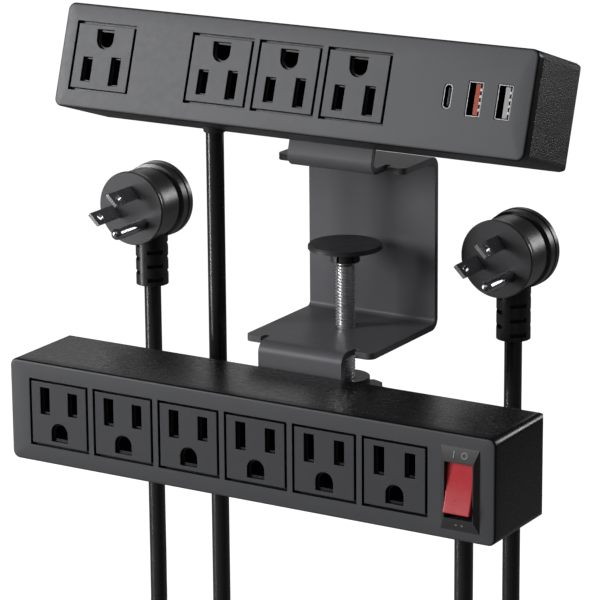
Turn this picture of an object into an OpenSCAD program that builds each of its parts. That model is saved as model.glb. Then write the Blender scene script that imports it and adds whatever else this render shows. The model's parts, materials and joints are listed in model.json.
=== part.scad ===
// Clamp-on desk power strip: two power bars on one bent steel C-bracket.
// +X runs along the bars, +Y away from the user, +Z up.
// The origin is on the desk-seating face, under the top plate, on the clamp screw's axis.

/* [Bracket] */
// Thickness of the bracket's steel sheet
sheet_t = 2.5; // [2:0.1:3.5]
// Width of the bracket's plates
plate_w = 56; // [48:1:80]
// Inside radius of every bend
bend_r = 2; // [1:0.5:3]
// Clear height between the two plates
throat = 63.5; // [58:0.5:80]
// Depth of the throat behind the clamp screw's axis
throat_back = 20.3; // [18:0.1:40]
// Width of the two tabs that carry the bars
tab_w = 36.5; // [30:0.5:44]
// Length of each tab
tab_h = 33; // [30:1:40]
// Reach of the top plate's ears in front of the screw's axis
top_ear = 4.1; // [3:0.1:7]
// Reach of the bottom plate's ears in front of the screw's axis
bottom_ear = 28.5; // [24:0.5:30]
// Corner radius of the ears
ear_r = 3; // [1:0.5:5]
// Width of the relief notches beside the tabs
notch_w = 2.5; // [1.5:0.5:4]

/* [Bars] */
// Height of both power bars
bar_h = 40; // [38:1:50]
// Corner radius of the bars, seen from the front
corner_r = 3; // [2:0.5:4]
// Radius of the bars' back edges
back_r = 4; // [2:0.5:5]
// Wall of the housings
wall = 2; // [1.5:0.25:2.5]
// Depth of the cover trays
cover_depth = 4; // [3.5:0.5:6]
// Thickness of the cover trays' front
cover_t = 2.2; // [1.5:0.1:3]
// Length of the upper bar
upper_len = 201; // [198:1:250]
// Depth of the upper bar
upper_depth = 38; // [36:1:50]
// Backward lean of the upper bar, in degrees
upper_tilt = 18; // [0:1:25]
// Distance from the screw's axis forward to the upper tab
upper_reach = 13.6; // [12:0.1:20]
// Gap along the upper tab, from the top plate's underside to the bar
upper_lift = 10.4; // [9:0.1:14]
// Sideways place of the upper bar on its tab
upper_shift = -1; // [-3:0.5:3]
// Length of the lower bar
lower_len = 209.5; // [207:0.5:250]
// Depth of the lower bar
lower_depth = 40; // [38:1:50]
// Distance from the screw's axis forward to the lower tab
lower_reach = 34.6; // [33:0.1:42]
// Gap between the bottom plate and the lower bar
lower_drop = 6.1; // [4:0.1:10]
// Sideways place of the lower bar on its tab
lower_shift = -0.5; // [-3:0.5:3]

/* [Outlets] */
// Spacing of neighbouring outlets
outlet_pitch = 29.3; // [29.2:0.1:31]
// Place of the upper bar's lone outlet from the bar's middle
lone_outlet_x = -81.5; // [-81.5:0.5:-76]
// Place of the upper bar's first grouped outlet from the bar's middle
group_outlet_x = -29.4; // [-31:0.1:-28]
// Place of the lower bar's first outlet from the bar's middle
first_outlet_x = -82.4; // [-83:0.1:-81]
// Width of an outlet's face
outlet_w = 25.1; // [24:0.1:26]
// Height of an outlet's face
outlet_h = 24.6; // [24:0.1:26]
// Gap around an outlet's face
outlet_gap = 1; // [0.3:0.1:1]
// Depth of an outlet's body behind the face
outlet_depth = 12; // [10:1:14]
// Spacing of the two blade slots
blade_pitch = 12.7; // [12.7:0.1:12.7]
// Distance from the blade slots' line to the ground hole
ground_drop = 11.9; // [11.9:0.1:11.9]
// Height of the blade slots' line above the outlet's middle
slot_line = 4.9; // [4.5:0.1:5.2]

/* [USB ports] */
// Place of the USB-C port from the bar's middle
usb_c_x = 66.9; // [64:0.1:68]
// Place of the first USB-A port from the bar's middle
usb_a1_x = 77.7; // [77:0.1:79]
// Place of the second USB-A port from the bar's middle
usb_a2_x = 89.5; // [89:0.1:91]

/* [Switch] */
// Place of the switch from the lower bar's middle
switch_x = 90.8; // [90.5:0.1:92]
// Height of the switch's pivot from the bar's middle
switch_z = -0.9; // [-1.5:0.1:0]
// Width of the rocker's opening
rocker_w = 11.3; // [10:0.1:12]
// Height of the rocker's opening
rocker_open_h = 21; // [20.8:0.1:23]
// Tilt of the rocker at each end of its throw, in degrees
rocker_tilt = 11.5; // [8:0.5:12]
// Depth of the rocker's pivot behind the cover's front
pivot_depth = 3.7; // [3.5:0.1:4.5]
// Half length of the rocker's face
rocker_half = 9.4; // [8.5:0.1:9.4]
// Distance from the rocker's pivot to its face
rocker_rise = 5.5; // [5:0.1:5.8]

/* [Clamp] */
// Outer radius of the clamp screw
screw_r = 3.8; // [3:0.1:5]
// Radial clearance of the screw in the bracket
screw_gap = 0.05; // [0.01:0.01:0.1]
// Clear height between the top plate and the pad, as stored
jaw = 30.6; // [24:0.1:36]
// Radius of the pad
pad_r = 14.3; // [12:0.1:18]
// Thickness of the pad's rubber facing
facing_t = 0.5; // [0.4:0.1:1]
// Thickness of the pad's steel disc
disc_t = 1.2; // [1:0.1:2]
// Radius of the pad's hub
hub_r = 5.65; // [5.5:0.05:7]
// Height of the pad's hub
hub_h = 5.2; // [5:0.1:7]
// Distance from the pad's top to the knob's top
knob_drop = 52.7; // [50:0.1:60]
// Radius of the knob's collar
collar_r = 9.4; // [8:0.1:12]
// Radius of the knob's grip
grip_r = 16; // [14:0.5:20]
// Height of the knob
knob_h = 22; // [18:1:30]

/* [Cords and plugs] */
// Diameter of both cords
cord_d = 7; // [7:0.1:7]
// Middle diameter of the upper cord's coil
upper_coil_d = 74; // [74:1:74]
// Middle diameter of the lower cord's coil
lower_coil_d = 80; // [80:1:80]
// Turns in each coil
coil_turns = 5.5; // [5.5:1:5.5]
// Radius of a plug's face
plug_r = 15.4; // [15:0.1:17]
// Depth of a plug's body
plug_depth = 23.8; // [23:0.1:28]
// Distance from a plug's face back to its cord's axis
plug_axis = 15; // [14:0.5:16]
// Reach of a plug's boot below the plug's middle
boot_len = 34.8; // [34:0.1:40]
// Radius of a plug's boot
boot_r = 6.75; // [6:0.05:7.5]

/* [Hidden] */
$fn = 64;
eps = 0.01;
bend_out = bend_r + sheet_t;
back_y = throat_back + sheet_t;
bottom_z = -throat;
lower_z = -(throat + sheet_t + lower_drop + bar_h / 2);
upper_n = 3;
lower_n = 6;
flange_w = 28.4;
flange_t = 1.6;
body_w = 25;
post_z = 14.5;
upper_post_r = 3;
lower_post_r = 2.3;
upper_posts = [-55.5, 50];
lower_posts = [-99.6, 100.2];
mount_x = 10;
mount_z = 8;
mount_screw_r = 1.6;
case_screw_r = 1.1;
hole_gap = 0.05;
contact_y = outlet_depth + 5.5;
contact_t = 0.8;
contact_gap = 0.5;
bezel_rise = 1.6;
bezel_w = 15.6;
bezel_h = 31.3;
bezel_drop = 0.35;
switch_depth = 22;
pin_r = 1;
usb_shell_t = 0.35;
pad_z = -jaw;
knob_z = pad_z - knob_drop;
disc_z = pad_z - facing_t;
hub_z = disc_z - disc_t;
neck_r = 2.9;
head_r = 4.3;
head_t = 1.6;
relief_r = 4.8;
upper_exit = [-44.9, -21, 13.4];
lower_exit = [76.1, -45, lower_z - bar_h / 2];
left_plug = [-119, 45, -37.5];
right_plug = [49.4, 45, -37.5];
coil_z = -290;
// Routes of the four uncoiled stretches, from the housing or boot to the coil
upper_down = [[-44.9, -21, 32], [-44.9, -21, 20], [-44.9, -21, 5], [-44.9, -21, -20],
    [-44.9, -21, -45], [-44.9, -21, -70], [-44.9, -21, -95], [-44.9, -21, -120],
    [-44.9, -21, -145], [-44.9, -21, -170], [-44.9, -21, -195], [-44.9, -20, -215],
    [-44.9, -17, -233], [-45, -12, -251], [-45, -8.5, -268], [-45, -7.2, -284]];
upper_up = [[-119, 31.2, -284], [-119, 32.5, -268], [-119, 36, -251], [-119, 41.5, -233],
    [-119, 44.5, -218], [-119, 45, -200], [-119, 45, -175], [-119, 45, -150],
    [-119, 45, -125], [-119, 45, -100], [-119, 45, -82], [-119, 45, -68]];
lower_down = [[76.1, -45, -96], [76.1, -45, -106], [76.1, -45, -120], [76.1, -45, -145],
    [76.1, -45, -170], [76.1, -45, -195], [76.4, -44.8, -215], [77.6, -44, -233],
    [79.9, -42, -251], [81.6, -40.3, -268], [82, -40, -284]];
lower_up = [[43.5, 40, -284], [43.9, 40.3, -268], [45.4, 42, -251], [47.8, 44, -233],
    [49.1, 44.8, -215], [49.4, 45, -195], [49.4, 45, -170], [49.4, 45, -145],
    [49.4, 45, -120], [49.4, 45, -98], [49.4, 45, -82], [49.4, 45, -68]];
upper_coil = [-82, 12, coil_z];
lower_coil = [62.75, 0, coil_z];
coil_half_w = (coil_turns + 1) * cord_d / 2;

// ---- places -------------------------------------------------------------

// Frame of the upper bar: origin at the middle of its front, +y into the bar
module at_upper() {
    translate([0, -upper_reach, 0])
        rotate([-upper_tilt, 0, 0])
            translate([upper_shift, -upper_depth, upper_lift + bar_h / 2])
                children();
}

// Frame of the lower bar
module at_lower() {
    translate([lower_shift, -lower_reach - lower_depth, lower_z]) children();
}

// ---- shared shapes ------------------------------------------------------

// A block centred on x and z, from y0 to y1
module slab(w, h, y0, y1) {
    translate([-w / 2, y0, -h / 2]) cube([w, y1 - y0, h]);
}

// A rod along +y from y0 to y1
module rod_y(r, y0, y1) {
    translate([0, y0, 0]) rotate([-90, 0, 0]) cylinder(r = r, h = y1 - y0);
}

// Flat rounded rectangle, centred
module round_rect(w, h, r) {
    square([w - 2 * r, h], center = true);
    square([w, h - 2 * r], center = true);
    for (x = [-1, 1], y = [-1, 1])
        translate([x * (w / 2 - r), y * (h / 2 - r)]) circle(r = r);
}

// Rounded rectangle in x and z, drawn out from y0 to y1
module round_slab(w, h, r, y0, y1) {
    translate([0, y1, 0]) rotate([90, 0, 0]) linear_extrude(y1 - y0) round_rect(w, h, r);
}

// Rounds the back edges of a block w wide and h high that ends at y = depth
module back_rounding(w, h, r, depth) {
    intersection() {
        linear_extrude(h, center = true)
            translate([0, depth / 2 - r]) round_rect(w, depth + 2 * r, r);
        rotate([90, 0, 90]) linear_extrude(w, center = true)
            translate([depth / 2 - r, 0]) round_rect(depth + 2 * r, h, r);
    }
}

// Sector of a ring, from angle a0 to a1
module ring_sector(r_in, r_out, a0, a1) {
    reach = 3 * r_out;
    mid = (a0 + a1) / 2;
    intersection() {
        difference() {
            circle(r = r_out);
            circle(r = r_in);
        }
        polygon([[0, 0], reach * [cos(a0), sin(a0)], reach * [cos(mid), sin(mid)],
            reach * [cos(a1), sin(a1)]]);
    }
}

// Tube swept along route points, with flat ends square to it
module sweep(points, r, sides = 10) {
    n = len(points);
    function dir(i) =
        let (a = points[max(i - 1, 0)], b = points[min(i + 1, n - 1)]) (b - a) / norm(b - a);
    function side(i) = let (c = cross(dir(i), [0, 1, 0])) c / norm(c);
    function ring(i) = let (u = side(i), v = cross(dir(i), u))
        [for (k = [0:sides - 1]) points[i] + r * (cos(360 * k / sides) * u + sin(360 * k / sides) * v)];
    polyhedron(
        points = [for (i = [0:n - 1]) each ring(i)],
        faces = [
            [for (k = [0:sides - 1]) k],
            [for (k = [0:sides - 1]) n * sides - 1 - k],
            for (i = [0:n - 2], k = [0:sides - 1])
                let (a = i * sides + k, b = i * sides + (k + 1) % sides)
                    [a, a + sides, b + sides, b]
        ]);
}

// ---- bracket ------------------------------------------------------------

// Length of straight sheet that a bend of this angle takes up on its outside
function bend_take(angle) = bend_out * tan(angle / 2);

// Side view of a plate's front tab, bent up from the plate's underside at y = -reach
module tab_profile(reach, tilt, ear) {
    angle = 90 + tilt;
    take = bend_take(angle);
    translate([-reach + take, 0]) square([reach - take - ear + eps, sheet_t]);
    translate([-reach + take, bend_out]) ring_sector(bend_r, bend_out, 180 - tilt, 270);
    translate([-reach, 0]) rotate(-tilt) translate([0, take]) square([sheet_t, tab_h - take]);
}

// Outline of a plate seen from above, from its ears back to the rear bend
module plate_outline(ear) {
    difference() {
        union() {
            translate([-plate_w / 2, -ear + ear_r])
                square([plate_w, back_y - bend_out + ear - ear_r]);
            translate([-plate_w / 2 + ear_r, -ear]) square([plate_w - 2 * ear_r, 2 * ear_r]);
            for (x = [-1, 1])
                translate([x * (plate_w / 2 - ear_r), -ear + ear_r]) circle(r = ear_r);
        }
        for (x = [-1, 1])
            translate([x * (tab_w + notch_w) / 2, -ear]) {
                translate([-notch_w / 2, -eps]) square([notch_w, notch_w]);
                translate([0, notch_w]) circle(d = notch_w);
            }
    }
}

// Extrudes a side view, y across and z up, over width w
module side_extrude(w) {
    rotate([90, 0, 90]) linear_extrude(w, center = true) children();
}

// Places its children at the two bolts of the upper tab, +z out of the tab's back
module upper_bolt_places() {
    translate([0, -upper_reach, 0]) rotate([-upper_tilt, 0, 0])
        for (x = [-mount_x, mount_x])
            translate([x, sheet_t, upper_lift + mount_z + 5]) rotate([-90, 0, 0]) children();
}

// Places its children at the two bolts of the lower tab
module lower_bolt_places() {
    for (x = [-mount_x, mount_x])
        translate([x, sheet_t - lower_reach, -(throat + sheet_t + lower_drop + mount_z + 5)])
            rotate([-90, 0, 0]) children();
}

module clamp_bracket() {
    color("#2b2c2e")
    difference() {
        union() {
            linear_extrude(sheet_t) plate_outline(top_ear);
            translate([0, 0, -throat - sheet_t]) linear_extrude(sheet_t)
                plate_outline(bottom_ear);
            side_extrude(plate_w) {
                translate([throat_back, -throat + bend_r])
                    square([sheet_t, throat - 2 * bend_r]);
                translate([back_y - bend_out, -bend_r]) ring_sector(bend_r, bend_out, 0, 90);
                translate([back_y - bend_out, -throat + bend_r])
                    ring_sector(bend_r, bend_out, -90, 0);
            }
            side_extrude(tab_w) {
                tab_profile(upper_reach, upper_tilt, top_ear - notch_w);
                translate([0, -throat]) mirror([0, 1])
                    tab_profile(lower_reach, 0, bottom_ear - notch_w);
            }
        }
        translate([0, 0, -throat - 2 * sheet_t])
            cylinder(r = screw_r + screw_gap, h = 3 * sheet_t);
        upper_bolt_places() translate([0, 0, -2 * sheet_t])
            cylinder(r = mount_screw_r + hole_gap, h = 3 * sheet_t);
        lower_bolt_places() translate([0, 0, -2 * sheet_t])
            cylinder(r = mount_screw_r + hole_gap, h = 3 * sheet_t);
    }
}

// ---- clamp --------------------------------------------------------------

module clamp_screw() {
    thread_top = hub_z - hub_h - 0.5;
    thread_low = knob_z - knob_h / 2;
    color("#c9cbd0") {
        translate([0, 0, thread_low]) cylinder(r = screw_r, h = thread_top - thread_low);
        translate([0, 0, hub_z - hub_h - 0.6]) cylinder(r = neck_r, h = hub_h - 1);
        translate([0, 0, hub_z - 2.4]) cylinder(r = head_r, h = head_t);
    }
}

module clamp_knob() {
    lobes = 8;
    color("#1d1d1f")
    difference() {
        union() {
            translate([0, 0, knob_z - 6]) cylinder(r = collar_r, h = 6);
            translate([0, 0, knob_z - knob_h]) cylinder(r = grip_r, h = knob_h - 5);
        }
        for (k = [0:lobes - 1])
            rotate(360 * k / lobes) translate([grip_r + 2.5, 0, knob_z - knob_h - eps])
                cylinder(r = 4.5, h = knob_h - 5 + 2 * eps);
        translate([0, 0, knob_z - knob_h / 2 - eps])
            cylinder(r = screw_r + eps, h = knob_h);
    }
}

module clamp_pad() {
    petals = 6;
    color("#242527")
    difference() {
        union() {
            translate([0, 0, hub_z]) cylinder(r = pad_r, h = disc_t);
            translate([0, 0, hub_z - hub_h]) cylinder(r = hub_r, h = hub_h + eps);
        }
        translate([0, 0, hub_z - 2.6]) cylinder(r = head_r + screw_gap, h = head_t + 0.4);
        translate([0, 0, hub_z - hub_h - eps]) cylinder(r = neck_r + screw_gap, h = hub_h - 2);
        for (k = [0:petals - 1])
            rotate(360 * (k + 0.5) / petals)
                translate([head_r + 0.4, -0.5, hub_z - hub_h - eps]) cube([3, 1, hub_h - 1.4]);
    }
}

module pad_facing() {
    color("#3a3b3d") translate([0, 0, disc_z]) cylinder(r = pad_r - 0.5, h = facing_t);
}

// ---- bar shells ---------------------------------------------------------

// Places its children at a bar's four case screws
module post_places(posts) {
    for (x = posts, z = [-post_z, post_z]) translate([x, 0, z]) children();
}

module bar_cover(len, posts, post_r) {
    difference() {
        union() {
            difference() {
                round_slab(len, bar_h, corner_r, 0, cover_depth);
                slab(len - 2 * wall, bar_h - 2 * wall, cover_t, cover_depth + eps);
            }
            post_places(posts) rod_y(post_r, cover_t - eps, cover_depth + 3);
        }
        post_places(posts) rod_y(case_screw_r + hole_gap, cover_t + 0.5, cover_depth + 4);
        children();
    }
}

module bar_housing(len, depth, posts, post_r, boss_z, shift) {
    boss_l = 7;
    difference() {
        union() {
            difference() {
                intersection() {
                    round_slab(len, bar_h, corner_r, cover_depth, depth);
                    back_rounding(len, bar_h, back_r, depth);
                }
                slab(len - 2 * wall, bar_h - 2 * wall, cover_depth - eps, depth - wall);
            }
            post_places(posts) rod_y(post_r, cover_depth + 3.2, depth - wall + eps);
            for (x = [-mount_x, mount_x])
                translate([x - shift, 0, boss_z])
                    rod_y(3.6, depth - wall - boss_l, depth - wall + eps);
        }
        post_places(posts) {
            rod_y(case_screw_r + hole_gap, cover_depth, depth + eps);
            rod_y(2.4, depth - 2, depth + eps);
        }
        for (x = [-mount_x, mount_x])
            translate([x - shift, 0, boss_z])
                rod_y(mount_screw_r + hole_gap, depth - wall - boss_l - eps, depth + eps);
        children();
    }
}

// Case screws: head in the back's recess, shank into the cover's post
module case_screws(depth, posts) {
    color("#8d8f94") post_places(posts) {
        rod_y(case_screw_r, cover_t + 1, depth - 1);
        rod_y(2.2, depth - 1.9, depth - 0.4);
    }
}

// Two pan-head screws through a tab into the bar
module mount_screws() {
    color("#3a3b3e") {
        translate([0, 0, -sheet_t - 7.5]) cylinder(r = mount_screw_r, h = sheet_t + 8);
        translate([0, 0, hole_gap]) cylinder(r = 3.3, h = 2.1);
    }
}

// ---- outlets ------------------------------------------------------------

// Ground hole: flat below, round above, w wide
module ground_slab(w, y0, y1) {
    translate([0, y1, 0]) rotate([90, 0, 0]) linear_extrude(y1 - y0) {
        circle(d = w);
        translate([-w / 2, -w / 2]) square([w, w / 2]);
    }
}

// Outlet with its ground hole below, origin in the middle of its face
module outlet() {
    mouth_t = 1.5;
    difference() {
        union() {
            slab(outlet_w, outlet_h, 0, cover_t + eps);
            slab(flange_w, flange_w, cover_t, cover_t + flange_t);
            slab(body_w, body_w, cover_t, outlet_depth);
        }
        for (side = [-1, 1]) {
            slot_h = side < 0 ? 9.4 : 7.9;
            translate([side * blade_pitch / 2, 0, slot_line]) {
                slab(4.2, slot_h + 1.4, -eps, mouth_t);
                slab(2.6, slot_h, -eps, outlet_depth + eps);
            }
        }
        translate([0, 0, slot_line - ground_drop]) {
            ground_slab(7.4, -eps, mouth_t);
            ground_slab(5.6, -eps, outlet_depth + eps);
        }
    }
}

// Square opening in a cover for one outlet
module outlet_opening() {
    slab(outlet_w + 2 * outlet_gap, outlet_h + 2 * outlet_gap, -eps, cover_t + 2 * eps);
}

function upper_outlet_x(i) = i == 0 ? lone_outlet_x : group_outlet_x + (i - 1) * outlet_pitch;
function lower_outlet_x(i) = first_outlet_x + i * outlet_pitch;

module upper_outlet(i) {
    color("#5c5d60") at_upper() translate([upper_outlet_x(i), 0, 0]) rotate([0, 180, 0]) outlet();
}

module lower_outlet(i) {
    color("#47484a") at_lower() translate([lower_outlet_x(i), 0, 0]) outlet();
}

// ---- contacts behind the outlets, seen with the ground holes below --------

// A strip behind a row of outlets with a pair of leaves at each slot on one side
module blade_strip(places, side) {
    strip_z = side < 0 ? slot_line - 8.1 : slot_line + 3.3;
    first = min(places) - 9;
    last = max(places) + 9;
    translate([first, contact_y, strip_z]) cube([last - first, contact_t, 3]);
    for (x = places) translate([x + side * blade_pitch / 2, 0, 0]) {
        translate([-2.5, contact_y, min(strip_z, slot_line - 3)])
            cube([5, contact_t, max(strip_z, slot_line) + 3 - min(strip_z, slot_line - 3)]);
        for (leaf = [-1.6, 1])
            translate([leaf, outlet_depth + contact_gap, slot_line - 3])
                cube([0.6, contact_y - outlet_depth - contact_gap + eps, 6]);
    }
}

// A strip with a sleeve at each ground hole
module ground_strip(places) {
    hole_z = slot_line - ground_drop;
    first = min(places) - 9;
    last = max(places) + 9;
    translate([first, contact_y, hole_z - 4.4]) cube([last - first, contact_t, 2]);
    for (x = places) translate([x, 0, hole_z]) {
        translate([-2.5, contact_y, -4.4]) cube([5, contact_t, 5.4]);
        difference() {
            rod_y(3.6, outlet_depth + contact_gap, contact_y + eps);
            rod_y(2.9, outlet_depth, contact_y - 0.4);
        }
    }
}

upper_places = [for (i = [0:upper_n]) -upper_outlet_x(i)];
lower_places = [for (i = [0:lower_n - 1]) lower_outlet_x(i)];

module brass() {
    color("#b8963e") children();
}

// ---- upper bar ----------------------------------------------------------

module usb_places() {
    for (x = [usb_a1_x, usb_a2_x]) translate([x, 0, 0]) children();
}

module upper_cover() {
    color("#5a5b5e") at_upper() bar_cover(upper_len, upper_posts, upper_post_r) {
        for (i = [0:upper_n]) translate([upper_outlet_x(i), 0, 0]) outlet_opening();
        translate([usb_c_x, 0, 0]) round_slab(3.7, 9.4, 1.8, -eps, cover_t + eps);
        usb_places() round_slab(6.2, 12.9, 0.5, -eps, cover_t + eps);
    }
}

module upper_housing() {
    color("#222224")
    difference() {
        at_upper() bar_housing(upper_len, upper_depth, upper_posts, upper_post_r,
            -bar_h / 2 + mount_z + 5, upper_shift);
        translate([upper_exit[0], upper_exit[1], upper_exit[2] - 10])
            cylinder(r = relief_r + 0.2, h = 18);
    }
}

module usb_c_port() {
    color("#9a9ca1") at_upper() translate([usb_c_x, 0, 0]) difference() {
        round_slab(3.3, 9, 1.6, 0.3, 9);
        round_slab(3.3 - 2 * usb_shell_t, 9 - 2 * usb_shell_t, 1.25, 0.3 - eps, 8.5);
    }
}

module usb_c_tongue() {
    color("#151516") at_upper() translate([usb_c_x, 0, 0]) slab(0.8, 6.4, 1.2, 8.5);
}

module usb_a_port(x) {
    color("#a9abb0") at_upper() translate([x, 0, 0]) difference() {
        round_slab(5.8, 12.5, 0.4, 0.3, 13);
        slab(5.8 - 2 * usb_shell_t, 12.5 - 2 * usb_shell_t, 0.3 - eps, 12.5);
    }
}

module usb_a_tongue(x, tint) {
    color(tint) at_upper() translate([x + 0.6, 0, 0]) slab(1.9, 11.2, 1, 12.5);
}

module usb_charger_board() {
    color("#1f5b3a") at_upper() translate([(usb_c_x + usb_a2_x) / 2, 0, 0]) {
        slab(34, 30, 13.2, 14.8);
        translate([-6, 0, 6]) slab(12, 12, 14.8 - eps, 26);
        translate([9, 0, -5]) rod_y(4, 14.8 - eps, 27);
        translate([-8, 0, -9]) slab(8, 6, 14.8 - eps, 18);
    }
}

module upper_strips() {
    brass() at_upper() rotate([0, 180, 0]) children();
}

// Tapered relief round a cord, its lower end at z = 0
module strain_relief(flange_z, h) {
    rotate_extrude() polygon([[cord_d / 2, 0], [4.2, 0], [relief_r, flange_z - 5],
        [relief_r, flange_z], [7, flange_z], [7, flange_z + 2], [relief_r, flange_z + 2],
        [4.4, h], [cord_d / 2, h]]);
}

module upper_strain_relief() {
    color("#19191a") translate([upper_exit[0], upper_exit[1], upper_exit[2] - 1])
        strain_relief(8, 20.5);
}

// Straight insulated wire between two points
module wire(a, b) {
    d = b - a;
    translate(a) rotate([0, acos(d[2] / norm(d)), atan2(d[1], d[0])])
        cylinder(r = 1.1, h = norm(d));
}

module upper_wires() {
    color("#2e2e30") for (k = [-1, 0, 1])
        wire(upper_down[0] + [2.2 * k, 0, 1.2], upper_down[0] + [10 + 2.2 * k, 4 + 2 * k, 7]);
}

// ---- lower bar ----------------------------------------------------------

module at_switch() {
    at_lower() translate([switch_x, 0, switch_z]) children();
}

module lower_cover() {
    color("#454648") at_lower() bar_cover(lower_len, lower_posts, lower_post_r) {
        for (i = [0:lower_n - 1]) translate([lower_outlet_x(i), 0, 0]) outlet_opening();
        translate([switch_x, 0, switch_z]) slab(14.2, 28.2, -eps, cover_t + eps);
    }
}

module lower_housing() {
    color("#1e1e20")
    difference() {
        at_lower() bar_housing(lower_len, lower_depth, lower_posts, lower_post_r,
            bar_h / 2 - mount_z - 5, lower_shift);
        translate([lower_exit[0], lower_exit[1], lower_exit[2] - 5])
            cylinder(r = relief_r + 0.2, h = 10);
    }
}

// Sloped bezel in front of the cover, and the switch's body behind it
module switch_frame() {
    body_h = rocker_open_h + 3;
    color("#1b1b1d") at_switch() difference() {
        union() {
            hull() {
                translate([0, 0, bezel_drop]) slab(bezel_w, bezel_h, -0.05, -eps);
                slab(rocker_w + 0.8, rocker_open_h + 0.8, -bezel_rise, -bezel_rise + 0.05);
            }
            slab(13.8, 27.8, -0.05, switch_depth);
        }
        slab(rocker_w, rocker_open_h, -bezel_rise - 1, switch_depth - 3);
        translate([-7, pivot_depth, 0]) rotate([0, 90, 0])
            cylinder(r = pin_r + hole_gap, h = 14);
    }
}

// Rocker at rest with its top pressed in; its pivot is the pin's axis
module switch_rocker() {
    half = rocker_half;
    color("#c0303a") at_switch() translate([0, pivot_depth, 0]) rotate([-rocker_tilt, 0, 0])
        difference() {
            side_extrude(rocker_w - 0.5) polygon([[-rocker_rise, -half], [-rocker_rise, half],
                [-rocker_rise + 2.5, half - 0.3], [1, 5.5], [4, 2.5], [4, -2.5], [1, -5.5],
                [-rocker_rise + 2.5, 0.3 - half]]);
            translate([-7, 0, 0]) rotate([0, 90, 0]) cylinder(r = pin_r + hole_gap, h = 14);
        }
}

module rocker_pin() {
    color("#b5b7bb") at_switch() translate([-6.8, pivot_depth, 0]) rotate([0, 90, 0])
        cylinder(r = pin_r, h = 13.6);
}

module switch_terminals() {
    brass() at_switch() for (z = [-8, 0, 8])
        translate([0, 0, z]) slab(6.3, 0.8, switch_depth - 2.5, switch_depth + 9);
}

module lower_surge_board() {
    color("#2a5d3d") at_lower() translate([-20, 0, -8]) {
        slab(110, 16, 24, 25.6);
        for (x = [-40, -24, -8]) translate([x, 0, 0]) rod_y(6, 25.6 - eps, 30);
        translate([14, 0, 0]) slab(16, 10, 25.6 - eps, 33);
        translate([38, 0, 0]) rod_y(6.5, 25.6 - eps, 34);
    }
}

module lower_strain_relief() {
    color("#19191a") translate([lower_exit[0], lower_exit[1], lower_exit[2] - 2])
        strain_relief(8, 19);
}

module lower_wires() {
    color("#2e2e30") for (k = [-1, 0, 1])
        wire(lower_down[0] + [2.2 * k, 0, 1.2], lower_down[0] + [2.2 * k - 9, -1 - 2 * k, 11]);
}

// ---- cords --------------------------------------------------------------

// Outer shape of a coil's turns, its axis along y
module coil_ring(d) {
    r = d / 2;
    rotate([90, 0, 0]) rotate_extrude($fn = 96)
        translate([r - cord_d / 2, -coil_half_w]) square([cord_d, 2 * coil_half_w]);
}

// Strap round the coil's turns at its lowest point
module coil_tie(d) {
    strap_w = 9;
    in_lo = d / 2 - cord_d / 2 - 0.8;
    in_hi = d / 2 + cord_d / 2 + 0.3;
    t = 1;
    translate([-strap_w / 2, 0, 0]) difference() {
        translate([0, -coil_half_w - 0.3 - t, -in_hi - t])
            cube([strap_w, 2 * (coil_half_w + 0.3 + t), in_hi - in_lo + 2 * t]);
        translate([-eps, -coil_half_w - 0.3, -in_hi])
            cube([strap_w + 2 * eps, 2 * (coil_half_w + 0.3), in_hi - in_lo]);
    }
}

module cord_black() {
    color("#202022") children();
}

module upper_cord_down() {
    cord_black() sweep(upper_down, cord_d / 2);
}

module upper_cord_up() {
    cord_black() sweep(upper_up, cord_d / 2);
}

module upper_cord_coil() {
    cord_black() translate(upper_coil) coil_ring(upper_coil_d);
}

module upper_cord_tie() {
    color("#111112") translate(upper_coil) coil_tie(upper_coil_d);
}

module lower_cord_down() {
    cord_black() sweep(lower_down, cord_d / 2);
}

module lower_cord_up() {
    cord_black() sweep(lower_up, cord_d / 2);
}

module lower_cord_coil() {
    cord_black() translate(lower_coil) rotate([0, 0, 90]) coil_ring(lower_coil_d);
}

module lower_cord_tie() {
    color("#111112") translate(lower_coil) rotate([0, 0, 90]) coil_tie(lower_coil_d);
}

// ---- plugs: origin in the middle of the face, prongs along -y -------------

module prongs(grow = 0) {
    blade = 16.6;
    pin = 21;
    face_z = 3.56;
    rotate([0, -45, 0]) {
        for (x = [-1, 1]) translate([x * blade_pitch / 2, 0, face_z])
            slab(1.5 + grow, 6 + grow, -blade, 3 + grow);
        translate([0, 0, face_z - ground_drop]) {
            rod_y(2.4 + grow / 2, -pin + 2.4, 3 + grow);
            translate([0, 2.4 - pin, 0]) sphere(r = 2.4);
        }
    }
}

module plug_body() {
    barrel_r = plug_r - 0.5;
    groove_r = plug_r - 1.4;
    flange_y = plug_depth - 7.4;
    color("#232325") difference() {
        rotate([-90, 0, 0]) rotate_extrude($fn = 96) polygon([[0, 0], [plug_r - 0.4, 0],
            [plug_r, 0.5], [plug_r, 1.2], [barrel_r, 2], [barrel_r - 0.3, flange_y - 2.6],
            [groove_r, flange_y - 1.8], [groove_r, flange_y - 0.4], [plug_r, flange_y],
            [plug_r + 0.2, plug_depth - 4.4], [barrel_r, plug_depth - 4.2],
            [barrel_r, plug_depth - 3.8], [plug_r + 0.4, plug_depth - 3.6],
            [plug_r + 0.4, plug_depth - 1.2], [plug_r - 0.8, plug_depth], [0, plug_depth]]);
        prongs(0.04);
        translate([0, plug_axis, -boot_len]) cylinder(r = boot_r + 0.02, h = boot_len - 8);
    }
}

module plug_prongs() {
    color("#c4c6ca") difference() {
        prongs();
        rotate([0, -45, 0]) translate([-10, -12.6, 3.56]) rotate([0, 90, 0])
            cylinder(r = 1.6, h = 20);
    }
}

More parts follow.
